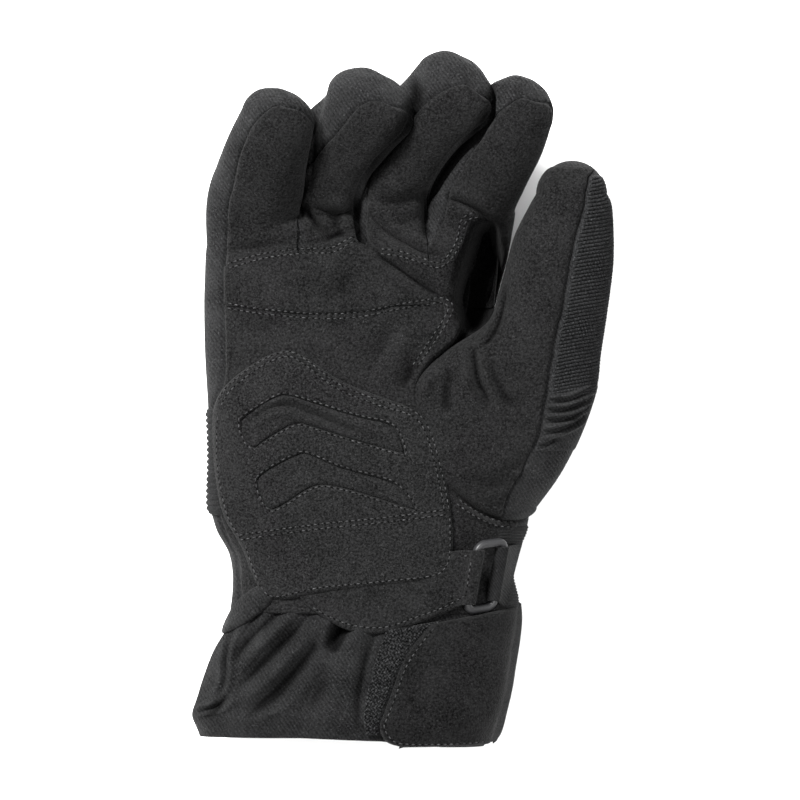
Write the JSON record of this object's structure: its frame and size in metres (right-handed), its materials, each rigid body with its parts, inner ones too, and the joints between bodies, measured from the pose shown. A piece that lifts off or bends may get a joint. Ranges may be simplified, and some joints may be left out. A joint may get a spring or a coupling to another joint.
{
  "type": "winter glove",
  "caption": "Right-hand winter glove lying palm up, with curled fingers, suede palm, heel patch with chevron windows, wrist strap in a ring, and open cuff with closing tab.",
  "frame": {"origin": "under the middle of the glove, on the surface that it lies on", "axes": "+X to the thumb side, +Y from the cuff to the fingertips, +Z out of the palm"},
  "size_m": [0.165, 0.2718, 0.0653],
  "materials": {
    "softshell": "matt twill",
    "suede": "napped suede",
    "tab_suede": "smooth napped suede",
    "knit": "coarse knit",
    "webbing": "woven webbing",
    "ribbed_elastic": "ribbed elastic",
    "pile": "loop pile",
    "ring": "dull grey"
  },
  "bodies": {
    "root": {"back_shell": "softshell", "palm_panel": "suede", "little_back": "softshell", "little_front": "suede", "ring_back": "softshell", "ring_front": "suede", "middle_back": "softshell", "middle_front": "suede", "index_back": "softshell", "index_front": "suede", "thumb_front": "suede", "thumb_back": "softshell", "thumb_knit": "knit", "thumb_pleats": "softshell", "knuckle_patch": "suede", "heel_patch": "suede", "upper_window_pad": "suede", "lower_window_pad": "suede", "wrist_strap": "suede", "strap_ring": "ring", "ring_keeper": "webbing", "left_elastic": "ribbed_elastic", "right_elastic": "ribbed_elastic", "cuff_shell": "softshell", "cuff_back": "softshell", "wrist_tuck": "suede", "pile_strip": "pile", "cuff_tab": "tab_suede"}
  },
  "joints": []
}
